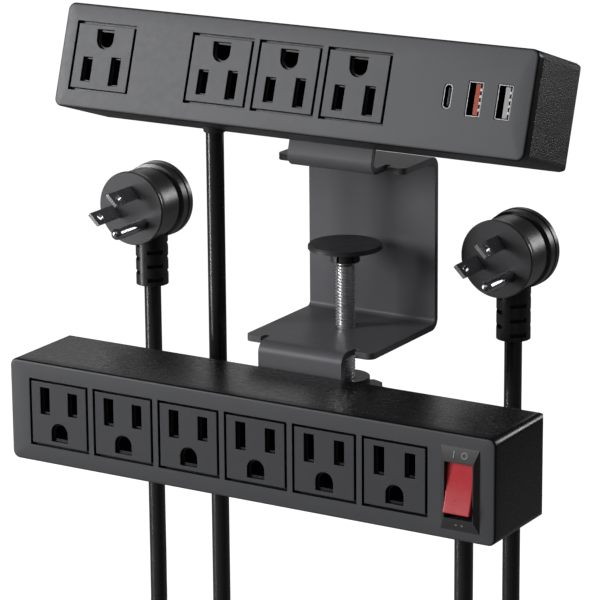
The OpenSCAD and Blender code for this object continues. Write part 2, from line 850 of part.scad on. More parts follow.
// Flexible boot: rows of slots down to its core, each row a quarter turn from the next
module plug_boot() {
    rows = 3;
    pitch = 5.9;
    slot_h = 1.7;
    core_r = boot_r - 2;
    color("#1c1c1e") translate([0, plug_axis, -boot_len]) difference() {
        cylinder(r = boot_r, h = boot_len - 8);
        for (k = [0:rows - 1], turn = [0:90:270])
            rotate([0, 0, 45 + turn])
                translate([core_r, -3.3, 1.6 + k * pitch + (turn % 180 == 0 ? pitch / 2 : 0)])
                    cube([boot_r, 6.6, slot_h]);
        translate([0, 0, -eps]) cylinder(r = cord_d / 2, h = 4);
    }
}

clamp_bracket();
clamp_screw();
clamp_knob();
clamp_pad();
pad_facing();
upper_housing();
upper_cover();
upper_outlet(0);  // upper_outlet_1
upper_outlet(1);  // upper_outlet_2
upper_outlet(2);  // upper_outlet_3
upper_outlet(3);  // upper_outlet_4
usb_c_port();
usb_c_tongue();
usb_a_port(usb_a1_x);  // usb_a_port_1
usb_a_port(usb_a2_x);  // usb_a_port_2
usb_a_tongue(usb_a1_x, "#963c28");  // usb_a_tongue_1
usb_a_tongue(usb_a2_x, "#d8d8d8");  // usb_a_tongue_2
usb_charger_board();
upper_strips() blade_strip(upper_places, 1);  // upper_live_bar
upper_strips() blade_strip(upper_places, -1);  // upper_neutral_bar
upper_strips() ground_strip(upper_places);  // upper_ground_bar
at_upper() case_screws(upper_depth, upper_posts);  // upper_case_screws
upper_bolt_places() mount_screws();  // upper_mount_screws
upper_strain_relief();
upper_wires();
lower_housing();
lower_cover();
lower_outlet(0);  // lower_outlet_1
lower_outlet(1);  // lower_outlet_2
lower_outlet(2);  // lower_outlet_3
lower_outlet(3);  // lower_outlet_4
lower_outlet(4);  // lower_outlet_5
lower_outlet(5);  // lower_outlet_6
switch_frame();
switch_rocker();
rocker_pin();
switch_terminals();
brass() at_lower() blade_strip(lower_places, 1);  // lower_live_bar
brass() at_lower() blade_strip(lower_places, -1);  // lower_neutral_bar
brass() at_lower() ground_strip(lower_places);  // lower_ground_bar
lower_surge_board();
at_lower() case_screws(lower_depth, lower_posts);  // lower_case_screws
lower_bolt_places() mount_screws();  // lower_mount_screws
lower_strain_relief();
lower_wires();
upper_cord_down();
upper_cord_coil();
upper_cord_up();
upper_cord_tie();
translate(left_plug - [0, plug_axis, 0]) plug_body();  // left_plug_body
translate(left_plug - [0, plug_axis, 0]) plug_prongs();  // left_plug_prongs
translate(left_plug - [0, plug_axis, 0]) plug_boot();  // left_plug_boot
lower_cord_down();
lower_cord_coil();
lower_cord_up();
lower_cord_tie();
translate(right_plug - [0, plug_axis, 0]) plug_body();  // right_plug_body
translate(right_plug - [0, plug_axis, 0]) plug_prongs();  // right_plug_prongs
translate(right_plug - [0, plug_axis, 0]) plug_boot();  // right_plug_boot
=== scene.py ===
"""Looks for a clamp-on desk power strip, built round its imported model."""

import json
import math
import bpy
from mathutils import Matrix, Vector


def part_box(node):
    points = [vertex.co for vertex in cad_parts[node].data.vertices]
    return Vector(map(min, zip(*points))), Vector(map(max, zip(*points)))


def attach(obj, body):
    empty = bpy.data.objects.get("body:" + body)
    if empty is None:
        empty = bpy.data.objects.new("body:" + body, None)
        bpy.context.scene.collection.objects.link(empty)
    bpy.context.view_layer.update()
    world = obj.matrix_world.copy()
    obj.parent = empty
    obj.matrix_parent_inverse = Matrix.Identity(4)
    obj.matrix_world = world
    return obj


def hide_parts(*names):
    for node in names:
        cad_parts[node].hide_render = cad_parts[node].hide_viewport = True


bl_info = {
    "name": "Desk power strip",
    "version": (1, 0, 0),
    "blender": (4, 5, 0),
    "location": "View3D > Sidebar > Power strip",
    "description": "Finishes, moulded edges, cords and stage for a clamp-on desk power strip",
    "category": "Object",
}

import bmesh
import bpy
from mathutils import Matrix, Vector

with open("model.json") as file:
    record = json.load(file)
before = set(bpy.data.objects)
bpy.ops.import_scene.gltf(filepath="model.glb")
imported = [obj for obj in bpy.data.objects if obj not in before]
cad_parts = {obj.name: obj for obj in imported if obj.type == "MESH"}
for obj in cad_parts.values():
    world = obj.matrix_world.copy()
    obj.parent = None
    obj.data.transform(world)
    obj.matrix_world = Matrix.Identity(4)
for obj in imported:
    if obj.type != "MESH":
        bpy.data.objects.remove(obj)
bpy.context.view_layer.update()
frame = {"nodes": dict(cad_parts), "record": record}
NODES = frame["nodes"]
MM = 0.001

# Places shared by several pieces, in millimetres in the object's own frame
UPPER_FACE = (-1.0, -40.346, 40.655)
UPPER_LEAN = math.radians(-18)
LOWER_FACE = (-0.5, -74.6, -92.1)
USB_A = (77.7, 89.5)
UPPER_PLANE = (Vector(UPPER_FACE) * MM, (0, math.cos(UPPER_LEAN), math.sin(UPPER_LEAN)))
LOWER_PLANE = (Vector(LOWER_FACE) * MM, (0, 1, 0))

# The switch on the lower bar's face, its pivot's depth behind that face, and its slopes
SWITCH = (90.8, -0.9)
PIVOT_DEPTH = 3.7
ROCKER_TILT = math.radians(-11.5)
BEZEL_SLOPE = math.radians(17.4)

UPPER_OUTLETS = 4
LOWER_OUTLETS = 6

# Sockets of a Mix node that mixes colours
MIX_FACTOR, MIX_LOW, MIX_HIGH, MIX_RESULT = 0, 6, 7, 2

# Painted shade: near black put on every surface just behind a grey face, in slots, seams and on the
# covers' sides
PAINTED_SHADE_BLACK = (0.004, 0.004, 0.004)


# ---- sizes and colours a user may change ------------------------------------

def colour(name, default, description):
    return bpy.props.FloatVectorProperty(
        name=name, description=description, subtype="COLOR", size=3, min=0, max=1,
        default=default)


def length(name, default, description):
    return bpy.props.FloatProperty(
        name=name, description=description, unit="LENGTH", subtype="DISTANCE", min=0,
        default=default)


class StripColours(bpy.types.PropertyGroup):
    # Painted light: the upper cover's grey is set lighter than the lower cover's, as the upper
    # cover faces up into the light; both covers are one grey
    upper_cover: colour("Upper cover", (0.072, 0.0735, 0.081), "Front tray of the upper bar")
    lower_cover: colour("Lower cover", (0.06, 0.061, 0.067), "Front tray of the lower bar")
    housing: colour("Housings", (0.012, 0.012, 0.013), "Black boxes of both bars")
    bracket: colour("Bracket", (0.105, 0.106, 0.116), "Powder coat of the steel bracket")
    rocker: colour("Rocker", (0.5, 0.03, 0.04), "Red rocker of the switch")
    cord: colour("Cords", (0.012, 0.012, 0.013), "Jackets of both cords")
    plug: colour("Plugs", (0.058, 0.058, 0.062), "Moulded plugs")


class StripSizes(bpy.types.PropertyGroup):
    moulded_edge: length("Moulded edge", 0.5 * MM, "Rounding of the plastic pieces' edges")
    cover_edge: length("Cover edge", 1.0 * MM, "Rounding round the front of the grey covers")
    sheet_edge: length("Sheet edge", 0.35 * MM, "Rounding of the steel bracket's edges")
    fine_edge: length("Fine edge", 0.2 * MM, "Rounding of small edges, such as the outlets' slots")
    cord_diameter: length("Cord diameter", 7 * MM, "Diameter of both cords")
    thread_pitch: length("Thread pitch", 1.25 * MM, "Pitch of the clamp screw's thread")
    thread_depth: length("Thread depth", 0.7 * MM, "Depth of the clamp screw's thread")


class StageSettings(bpy.types.PropertyGroup):
    floor: colour("Floor", (0.3, 0.3, 0.3), "How much light the floor gives back to the object")
    floor_depth: length("Floor depth", 0.75, "Height of the desk's clamp face above the floor")
    key: bpy.props.FloatProperty(name="Key light", description="Power of the front left light",
                                 subtype="POWER", default=98, min=0)
    ambient: bpy.props.FloatProperty(name="Ambient", default=0.06, min=0,
                                     description="Strength of the even light all round")


# ---- shader maths -----------------------------------------------------------

class Signal:
    """One shader socket; arithmetic on it adds Math nodes."""

    def __init__(self, finish, socket):
        self.finish = finish
        self.socket = socket

    def _math(self, operation, *values):
        return self.finish.node("ShaderNodeMath", {"operation": operation}, values)

    def __add__(self, other):
        return self._math("ADD", self, other)

    __radd__ = __add__

    def __sub__(self, other):
        return self._math("SUBTRACT", self, other)

    def __rsub__(self, other):
        return self._math("SUBTRACT", other, self)

    def __mul__(self, other):
        return self._math("MULTIPLY", self, other)

    __rmul__ = __mul__

    def __gt__(self, other):
        return self._math("GREATER_THAN", self, other)

    def clamped(self):
        return self.finish.node("ShaderNodeClamp", {}, (self, 0.0, 1.0))


class Finish:
    """One material with a principled shader and whatever nodes feed it."""

    def __init__(self, name, base, roughness, metallic=0.0, specular=0.5):
        self.material = bpy.data.materials.new(name)
        self.material.use_nodes = True
        self.tree = self.material.node_tree
        self.shader = self.tree.nodes["Principled BSDF"]
        constants = {"Base Color": (*base, 1.0), "Roughness": roughness, "Metallic": metallic,
                     "Specular IOR Level": specular}
        for socket, value in constants.items():
            self.shader.inputs[socket].default_value = value
        self.material.diffuse_color = (*base, 1.0)
        self._place = None

    def node(self, kind, settings=None, inputs=(), output=0):
        """Adds a node: its settings first, then its sockets by place or by name."""
        node = self.tree.nodes.new(kind)
        for key, value in (settings or {}).items():
            setattr(node, key, value)
        pairs = inputs.items() if isinstance(inputs, dict) else enumerate(inputs)
        for key, value in pairs:
            self._feed(node.inputs[key], value)
        return Signal(self, node.outputs[output])

    def _feed(self, socket, value):
        if isinstance(value, Signal):
            self.tree.links.new(value.socket, socket)
        else:
            socket.default_value = value

    def feed(self, socket, value):
        self._feed(self.shader.inputs[socket], value)

    def place(self):
        """Object coordinates in metres."""
        if self._place is None:
            self._place = self.node("ShaderNodeTexCoord", output="Object")
        return self._place

    def noise(self, size, detail=2.0, rough=0.5, stretch=None):
        """Noise with features of this size in metres, times a factor for each axis."""
        place = self.place()
        if stretch:
            place = self.node("ShaderNodeVectorMath", {"operation": "DIVIDE"},
                              (place, stretch))
        return self.node("ShaderNodeTexNoise", {}, {"Vector": place, "Scale": 1.0 / size,
                                                    "Detail": detail, "Roughness": rough})

    def tint(self, low, high, amount):
        """Mixes two colours by a signal; each is a colour or another signal."""
        low, high = (end if isinstance(end, Signal) else (*end, 1.0) for end in (low, high))
        return self.node("ShaderNodeMix", {"data_type": "RGBA"},
                         {MIX_FACTOR: amount, MIX_LOW: low, MIX_HIGH: high}, MIX_RESULT)

    def depth(self, place, axis):
        """Distance in metres behind the plane through a place, along an axis."""
        along = self.node("ShaderNodeVectorMath", {"operation": "DOT_PRODUCT"},
                          (self.place(), tuple(axis)), "Value")
        return along - Vector(place).dot(Vector(axis))

    def bump(self, height, distance, strength):
        bumped = self.node("ShaderNodeBump", {}, {"Height": height, "Distance": distance,
                                                  "Strength": strength})
        self.feed("Normal", bumped)


def shade(base, factor):
    """A colour made darker or lighter by a factor."""
    return tuple(min(1.0, channel * factor) for channel in base)


def speckled(finish, base, spread, size):
    """Slight mottling of a colour, as pigment and handling leave."""
    mottled = finish.tint(shade(base, 1 - spread), shade(base, 1 + spread),
                          finish.noise(size, 3.0, 0.6))
    finish.feed("Base Color", mottled)
    return mottled


# ---- finishes ---------------------------------------------------------------

def powder_coat(name, base):
    """Fine satin powder coat on steel: faint orange peel and a finer grain."""
    rough = 0.42
    finish = Finish(name, base, rough, specular=0.4)
    speckled(finish, base, 0.06, 6 * MM)
    peel = finish.noise(1.6 * MM, 2.0)
    fine = finish.noise(0.5 * MM, 2.0)
    finish.bump(peel * 0.5 + fine * 0.5, 0.05 * MM, 0.5)
    finish.feed("Roughness", finish.noise(3 * MM) * 0.1 + (rough - 0.05))
    return finish.material


def moulded(name, base, rough=0.45, grain=0.35 * MM, depth=0.03 * MM, specular=0.35):
    """Spark-textured moulded plastic: fine even grain over slight mottling."""
    finish = Finish(name, base, rough, specular=specular)
    speckled(finish, base, 0.05, 8 * MM)
    finish.bump(finish.noise(grain, 3.0, 0.65), depth, 0.7)
    finish.feed("Roughness", finish.noise(2.5 * MM, 3.0) * 0.12 + (rough - 0.06))
    return finish.material


def face_plastic(name, base, place, axis):
    """Fine-textured grey face with painted shade: it goes black just behind its plane, where slots,
    seams and the sides behind the face fall into shade.
    """
    fade = 0.25 * MM
    finish = Finish(name, base, 0.42, specular=0.35)
    face = speckled(finish, base, 0.05, 8 * MM)
    # Painted shade: a mask that turns everything a fraction of a millimetre behind the face black
    painted_shade = (finish.depth(place, axis) * (1 / fade) - 0.4).clamped()
    finish.feed("Base Color", finish.tint(face, PAINTED_SHADE_BLACK, painted_shade))
    finish.bump(finish.noise(0.35 * MM, 3.0, 0.65), 0.03 * MM, 0.7)
    finish.feed("Roughness", finish.noise(2.5 * MM, 3.0) * 0.12 + painted_shade * -0.1 + 0.36)
    return finish.material


def port_steel(place, axis):
    """Bright rim of a port's shell, with painted shade that makes the shell near black inside, just
    behind its face.
    """
    base, inside, fade = (0.25, 0.25, 0.26), (0.01, 0.01, 0.01), 0.2 * MM
    finish = Finish("port_steel", base, 0.3, metallic=1.0)
    # Painted shade: the steel turns near black a little behind the face
    painted_shade = (finish.depth(place, axis) * (1 / fade) - 1.7).clamped()
    finish.feed("Base Color", finish.tint(base, inside, painted_shade))
    finish.feed("Roughness", finish.noise(1 * MM) * 0.2 + 0.2)
    return finish.material


def sand_textured(name, base):
    """Coarse sand texture of a moulded box: small sharp grains that glint."""
    rough = 0.36
    finish = Finish(name, base, rough, specular=0.6)
    speckled(finish, base, 0.12, 6 * MM)
    grains = finish.node("ShaderNodeTexVoronoi", {},
                         {"Vector": finish.place(), "Scale": 1 / (0.48 * MM)})
    finish.bump(grains + finish.noise(0.5 * MM, 2.0) * 0.6, 0.2 * MM, 1.0)
    finish.feed("Roughness", finish.noise(1.5 * MM, 2.0) * 0.2 + (rough - 0.1))
    return finish.material


def polished(name, base, rough=0.2):
    """Smooth gloss plastic with faint handling marks."""
    finish = Finish(name, base, rough)
    speckled(finish, base, 0.05, 5 * MM)
    marks = finish.noise(4 * MM, 4.0, 0.7)
    finish.feed("Roughness", marks * 0.16 + (rough - 0.06))
    finish.bump(finish.noise(1.2 * MM), 0.01 * MM, 0.3)
    return finish.material


def turned_metal(name, base, rough, along="Z"):
    """Plated or turned metal: fine rings left by the tool and a little unevenness."""
    finish = Finish(name, base, rough, metallic=1.0)
    stretch = {"Z": (30.0, 30.0, 1.0), "Y": (30.0, 1.0, 30.0), "X": (1.0, 30.0, 30.0)}[along]
    rings = finish.noise(0.25 * MM, 2.0, 0.5, stretch)
    finish.feed("Base Color", finish.tint(shade(base, 0.8), base, finish.noise(3 * MM, 3.0)))
    finish.feed("Roughness", rings * 0.2 + (rough - 0.08))
    finish.bump(rings, 0.01 * MM, 0.4)
    return finish.material


def rubber(name, base, rough=0.5, specular=0.4):
    """Soft black rubber or PVC: satin, slightly cloudy, with fine extrusion grain."""
    finish = Finish(name, base, rough, specular=specular)
    speckled(finish, base, 0.12, 7 * MM)
    finish.bump(finish.noise(0.5 * MM, 2.0), 0.02 * MM, 0.5)
    finish.feed("Roughness", finish.noise(5 * MM, 3.0) * 0.16 + (rough - 0.08))
    return finish.material


def circuit_board():
    """Green solder mask with paler copper tracks under it."""
    base, track = (0.015, 0.1, 0.04), (0.05, 0.2, 0.07)
    track_edge = 0.08
    finish = Finish("circuit_board", base, 0.35)
    tracks = finish.node("ShaderNodeTexVoronoi", {"feature": "DISTANCE_TO_EDGE"},
                         {"Vector": finish.place(), "Scale": 1 / (3 * MM)})
    finish.feed("Base Color", finish.tint(track, base, tracks > track_edge))
    finish.bump(tracks, 0.05 * MM, 0.3)
    return finish.material


# ---- mesh helpers -----------------------------------------------------------

def new_piece(name, verts, faces, finish, body, smooth=35):
    """A mesh object from points and faces in the object's frame, riding on a body."""
    mesh = bpy.data.meshes.new(name)
    mesh.from_pydata(verts, [], faces)
    mesh.update()
    return dress(bpy.data.objects.new(name, mesh), finish, body, smooth)


def dress(piece, finish, body, smooth=35):
    """Links a mesh object, smooths it up to an angle, and gives it a finish and a body."""
    bpy.context.scene.collection.objects.link(piece)
    mesh = piece.data
    mesh.materials.append(finish)
    mesh.polygons.foreach_set("use_smooth", [True] * len(mesh.polygons))
    mesh.set_sharp_from_angle(angle=math.radians(smooth))
    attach(piece, body)
    return piece


def body_of_node(node):
    for body, nodes in frame["record"]["behaviour"]["bodies"].items():
        if node in nodes:
            return body
    raise ValueError(f"no body holds {node}")


def rounded_edges(piece, width, segments=2, angle=32):
    bevel = piece.modifiers.new("edges", "BEVEL")
    bevel.width = width
    bevel.segments = segments
    bevel.limit_method = "ANGLE"
    bevel.angle_limit = math.radians(angle)
    bevel.harden_normals = True
    return piece


def cad_mesh(node):
    """The CAD piece's own surface as a bmesh, welded and with its flat triangles paired."""
    bm = bmesh.new()
    bm.from_mesh(NODES[node].data)
    bmesh.ops.remove_doubles(bm, verts=bm.verts, dist=1e-6)
    bmesh.ops.join_triangles(bm, faces=bm.faces, angle_face_threshold=math.radians(0.5),
                             angle_shape_threshold=math.radians(60))
    return bm


def points_and_faces(bm):
    """What a bmesh holds, as plain lists; the bmesh is freed."""
    bm.verts.index_update()
    verts = [tuple(v.co) for v in bm.verts]
    faces = [[v.index for v in face.verts] for face in bm.faces]
    bm.free()
    return verts, faces


def softened(node, finish, edge, angle=32):
    """A copy of a CAD piece with its sharp edges rounded, standing for it."""
    piece = new_piece(node + "_finished", *points_and_faces(cad_mesh(node)), finish,
                      body_of_node(node))
    rounded_edges(piece, edge, angle=angle)
    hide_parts(node)


def rounded_cover(node, finish, place, width, fine):
    """A bar's front tray, its outline well rounded and its openings slightly."""
    front, reach = 0.05, 5
    bm = cad_mesh(node)
    into_bar = place.inverted()
    local = {v: into_bar @ (v.co / MM) for v in bm.verts}
    half = max(p.x for p in local.values())
    tall = max(p.z for p in local.values())
    outline = {v for v, p in local.items()
               if p.y < front and (abs(p.x) > half - reach or abs(p.z) > tall - reach)}
    chosen = [edge for edge in bm.edges
              if outline.issuperset(edge.verts) and edge.calc_face_angle(0) > math.radians(25)]
    bmesh.ops.bevel(bm, geom=chosen, offset=width, offset_type="OFFSET", segments=5, profile=0.5,
                    affect="EDGES", clamp_overlap=False)
    piece = new_piece(node + "_finished", *points_and_faces(bm), finish, body_of_node(node), 40)
    rounded_edges(piece, fine)
    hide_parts(node)


def paint(node, finish):
    """Gives a CAD piece that stays a better finish."""
    mesh = NODES[node].data
    mesh.materials.clear()
    mesh.materials.append(finish)


def lathe(profile, steps, place):
    """Points and faces of a profile of (radius, height) pairs turned round +Z and put in place."""
    verts, faces = [], []
    for radius, height in profile:
        for k in range(steps):
            turn = 2 * math.pi * k / steps
            verts.append(place @ Vector((radius * math.cos(turn), radius * math.sin(turn), height)))
    for row in range(len(profile) - 1):
        for k in range(steps):
            a, b = row * steps + k, row * steps + (k + 1) % steps
            faces.append((a, b, b + steps, a + steps))
    return verts, faces


def threaded_rod(radius, pitch, depth, low, high, steps=40):
    """Points and faces of a rod along +Z with a helical thread that runs out at both ends."""
    profile = ((0.0, 0.0), (0.12, 0.0), (0.42, 1.0), (0.58, 1.0), (0.88, 0.0), (1.0, 0.0))
    count = int((high - low) / pitch * steps)
    verts, faces = [], []
    for i in range(count + 1):
        turn = 2 * math.pi * i / steps
        start = low + pitch * i / steps
        for along, crest in profile:
            z = min(high, start + along * pitch)
            fade = min(1.0, (z - low) / pitch, (high - z) / pitch)
            r = radius - depth * (1 - crest * max(0.0, fade))
            verts.append((r * math.cos(turn), r * math.sin(turn), z))
    rows = len(profile)
    for i in range(count):
        for j in range(rows - 1):
            a, b = i * rows + j, (i + 1) * rows + j
            faces.append((a, b, b + 1, a + 1))
    for z in (low, high):
        first = len(verts)
        for k in range(steps):
            turn = 2 * math.pi * k / steps
            verts.append(((radius - depth) * math.cos(turn), (radius - depth) * math.sin(turn), z))
        ring = list(range(first, first + steps))
        faces.append(ring if z == high else ring[::-1])
    return verts, faces


def joined(*parts):
    """One list of points and one of faces from several."""
    verts, faces = [], []
    for part_verts, part_faces in parts:
        first = len(verts)
        verts += [tuple(v) for v in part_verts]
        faces += [tuple(first + k for k in face) for face in part_faces]
    return verts, faces


def block(width, height, near, far, x=0.0, z=0.0):
    """A box in a bar's own frame, y going back from its face, in millimetres."""
    verts = [(x + sx * width / 2, y, z + sz * height / 2)
             for y in (near, far) for sx in (-1, 1) for sz in (-1, 1)]
    faces = [(0, 2, 3, 1), (4, 5, 7, 6), (0, 1, 5, 4), (2, 6, 7, 3), (0, 4, 6, 2), (1, 3, 7, 5)]
    return verts, faces


def placed(part, place):
    """A part in millimetres in its own frame, put in place in metres."""
    verts, faces = part
    return [tuple((place @ Vector(v)) * MM) for v in verts], faces


def on_upper(x=0.0, z=0.0):
    """The frame of the upper bar's face, moved along it."""
    return (Matrix.Translation(UPPER_FACE) @ Matrix.Rotation(UPPER_LEAN, 4, "X")
            @ Matrix.Translation((x, 0, z)))


def on_lower(x=0.0, z=0.0):
    return Matrix.Translation(LOWER_FACE) @ Matrix.Translation((x, 0, z))


# ---- stage ------------------------------------------------------------------

class STRIP_OT_stage(bpy.types.Operator):
    """Camera, pale floor and soft lights"""
    bl_idname = "strip.stage"
    bl_label = "Stage"

    def execute(self, context):
        settings = context.scene.strip_stage
        self.camera(context)
        self.floor(settings)
        self.world(settings)
        self.lights(settings)
        context.scene.view_settings.view_transform = "Standard"
        return {"FINISHED"}

    def camera(self, context):
        turned, tipped, rolled = 30.99, 15.28, -0.44
        data = bpy.data.cameras.new("view")
        data.sensor_width = 36.0
        data.lens = 192.2
        data.shift_x, data.shift_y = -0.0128, -0.0058
        data.clip_start, data.clip_end = 0.05, 50
        camera = bpy.data.objects.new("view", data)
        camera.matrix_world = (Matrix.Translation((0.5983, -1.0242, 0.2725))
                               @ Matrix.Rotation(math.radians(turned), 4, "Z")
                               @ Matrix.Rotation(math.radians(90 - tipped), 4, "X")
                               @ Matrix.Rotation(math.radians(rolled), 4, "Z"))
        context.scene.collection.objects.link(camera)
        context.scene.camera = camera

    def floor(self, settings):
        half = 40.0
        corners = [(x, y, -settings.floor_depth)
                   for x, y in ((-half, -half), (half, -half), (half, half), (-half, half))]
        finish = Finish("pale_floor", tuple(settings.floor), 0.8, specular=0.0)
        speckled(finish, tuple(settings.floor), 0.01, 0.4)
        finish.shader.inputs["Emission Strength"].default_value = 1.0
        finish.feed("Emission Color", finish.node("ShaderNodeLightPath", output="Is Camera Ray"))
        mesh = bpy.data.meshes.new("floor")
        mesh.from_pydata(corners, [], [(0, 1, 2, 3)])
        mesh.materials.append(finish.material)
        floor = bpy.data.objects.new("floor", mesh)
        bpy.context.scene.collection.objects.link(floor)

    def world(self, settings):
        """Even light all round, white where the camera looks past everything."""
        world = bpy.data.worlds.new("studio")
        world.use_nodes = True
        nodes, links = world.node_tree.nodes, world.node_tree.links
        background = nodes["Background"]
        background.inputs["Color"].default_value = (1, 1, 1, 1)
        direct = nodes.new("ShaderNodeLightPath")
        strength = nodes.new("ShaderNodeMapRange")
        strength.inputs["To Min"].default_value = settings.ambient
        strength.inputs["To Max"].default_value = 1.0
        links.new(direct.outputs["Is Camera Ray"], strength.inputs["Value"])
        links.new(strength.outputs["Result"], background.inputs["Strength"])
        bpy.context.scene.world = world

    def lights(self, settings):
        # name, place, width, height, share of the key's power
        panels = [
            ("front_left_key", (-2.6, -2.5, 0.95), 1.3, 1.3, 1.0),
            ("low_left_strip", (-1.75, -1.35, -0.28), 0.22, 0.85, 0.13),
            ("front_high_fill", (0.3, -2.2, 1.9), 1.6, 1.2, 0.1),
            ("back_right_strip", (1.2, 1.9, 0.5), 0.45, 0.7, 0.12),
            ("back_left_sky", (-1.5, 2.3, 0.75), 1.6, 0.7, 0.025),
        ]
        for name, place, width, height, share in panels:
            data = bpy.data.lights.new(name, "AREA")
            data.shape = "RECTANGLE"
            data.size, data.size_y = width, height
            data.energy = settings.key * share
            light = bpy.data.objects.new(name, data)
            light.location = place
            light.rotation_euler = (-Vector(place)).to_track_quat("-Z", "Y").to_euler()
            bpy.context.scene.collection.objects.link(light)


# ---- cords ------------------------------------------------------------------

# Routes in millimetres, down from each bar to its coil and up from the coil to the plug
UPPER_DOWN = [(-44.9, -21, 32), (-44.9, -21, 20), (-44.9, -21, 5), (-44.9, -21, -20),
              (-44.9, -21, -45), (-44.9, -21, -70), (-44.9, -21, -95), (-44.9, -21, -120),
              (-44.9, -21, -145), (-44.9, -21, -170), (-44.9, -21, -195), (-44.9, -20, -215),
              (-44.9, -17, -233), (-45, -12, -251), (-45, -8.5, -268)]
UPPER_UP = [(-119, 32.5, -268), (-119, 36, -251), (-119, 41.5, -233), (-119, 44.5, -218),
            (-119, 45, -200), (-119, 45, -175), (-119, 45, -150), (-119, 45, -125),
            (-119, 45, -100), (-119, 45, -82), (-119, 45, -69)]
LOWER_DOWN = [(76.1, -45, -96), (76.1, -45, -106), (76.1, -45, -120), (76.1, -45, -145),
              (76.1, -45, -170), (76.1, -45, -195), (76.4, -44.8, -215), (77.6, -44, -233),
              (79.9, -42, -251), (81.6, -40.3, -268)]
LOWER_UP = [(43.9, 40.3, -268), (45.4, 42, -251), (47.8, 44, -233), (49.1, 44.8, -215),
            (49.4, 45, -195), (49.4, 45, -170), (49.4, 45, -145), (49.4, 45, -120), (49.4, 45, -98),
            (49.4, 45, -82), (49.4, 45, -69)]


def coil_points(centre, radius, start, across, along, turns, pitch, steps=16):
    """Points of a coil that starts across from its centre and goes down first."""
    down = Vector((0, 0, -1))
    points = []
    for k in range(int(turns * steps) + 1):
        turn = 2 * math.pi * k / steps
        round_it = across * math.cos(turn) + down * math.sin(turn)
        points.append(centre + radius * round_it + along * (start + pitch * k / steps))
    return points


def cord_curve(name, points, diameter, finish):
    """One smooth open curve through points in millimetres, with a round section."""
    curve = bpy.data.curves.new(name, "CURVE")
    curve.dimensions = "3D"
    curve.resolution_u = 5
    curve.bevel_depth = diameter / 2
    curve.bevel_resolution = 6
    curve.use_fill_caps = True
    spline = curve.splines.new("BEZIER")
    spline.bezier_points.add(len(points) - 1)
    for knot, point in zip(spline.bezier_points, points):
        knot.co = Vector(point) * MM
        knot.handle_left_type = knot.handle_right_type = "AUTO"
    curve.materials.append(finish)
    piece = bpy.data.objects.new(name, curve)
    bpy.context.scene.collection.objects.link(piece)
    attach(piece, "frame")
    return piece


class STRIP_OT_cords(bpy.types.Operator):
    """Both cords, each one curve from its bar through its coil to its plug"""
    bl_idname = "strip.cords"
    bl_label = "Cords"

    def execute(self, context):
        diameter = context.scene.strip_sizes.cord_diameter
        finish = rubber("cord_jacket", tuple(context.scene.strip_colours.cord), 0.24, 0.6)
        turns, pitch = 5.5, 7
        half = turns * pitch / 2
        right, back = Vector((1, 0, 0)), Vector((0, 1, 0))
        upper_coil = coil_points(Vector((-82, 12, -290)), 37, -half, right, back, turns, pitch)
        lower_coil = coil_points(Vector((62.75, 0, -290)), 40, half, -back, right, turns, -pitch)
        upper = cord_curve("upper_cord", UPPER_DOWN + upper_coil + UPPER_UP, diameter, finish)
        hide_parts("upper_cord_down", "upper_cord_coil", "upper_cord_up")
        lower = cord_curve("lower_cord", LOWER_DOWN + lower_coil + LOWER_UP, diameter, finish)
        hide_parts("lower_cord_down", "lower_cord_coil", "lower_cord_up")
        return {"FINISHED"}


# ---- pieces -----------------------------------------------------------------

class STRIP_OT_bracket(bpy.types.Operator):
    """Bent steel bracket with its softened edges"""
    bl_idname = "strip.bracket"
    bl_label = "Bracket"

    def execute(self, context):
        sizes = context.scene.strip_sizes
        finish = powder_coat("bracket_paint", tuple(context.scene.strip_colours.bracket))
        softened("clamp_bracket", finish, sizes.sheet_edge, 40)
        screws = turned_metal("mount_screw_black", (0.05, 0.05, 0.052), 0.4, "Y")
        for node in ("upper_mount_screws", "lower_mount_screws"):
            softened(node, screws, sizes.sheet_edge, 40)
        return {"FINISHED"}


class STRIP_OT_clamp(bpy.types.Operator):
    """Threaded screw, knob and pad"""
    bl_idname = "strip.clamp"
    bl_label = "Clamp"

    def execute(self, context):
        sizes = context.scene.strip_sizes
        zinc = turned_metal("zinc_plate", (0.93, 0.93, 0.95), 0.28)
        low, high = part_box("clamp_screw")
        thread_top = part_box("clamp_pad")[0][2] - 0.4 * MM
        screw_r, neck_r, head_r = 3.8 * MM, 2.8 * MM, 4.2 * MM
        under_head = high[2] - 1.6 * MM
        rod = threaded_rod(screw_r, sizes.thread_pitch, sizes.thread_depth, low[2], thread_top)
        neck = lathe([(0, low[2]), (neck_r, thread_top - 0.6 * MM), (neck_r, under_head),
                      (head_r, under_head), (head_r, high[2]), (0, high[2])],
                     48, Matrix.Identity(4))
        thread = new_piece("screw_thread", *joined(rod, neck), zinc, "screw", 50)
        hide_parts("clamp_screw")
        softened("clamp_knob", moulded("knob_plastic", (0.02, 0.02, 0.021), 0.4),
                 sizes.moulded_edge)
        softened("clamp_pad", powder_coat("pad_paint", (0.035, 0.035, 0.038)), sizes.fine_edge)
        softened("pad_facing", rubber("pad_rubber", (0.034, 0.034, 0.037), 0.5),
                 sizes.fine_edge)
        return {"FINISHED"}


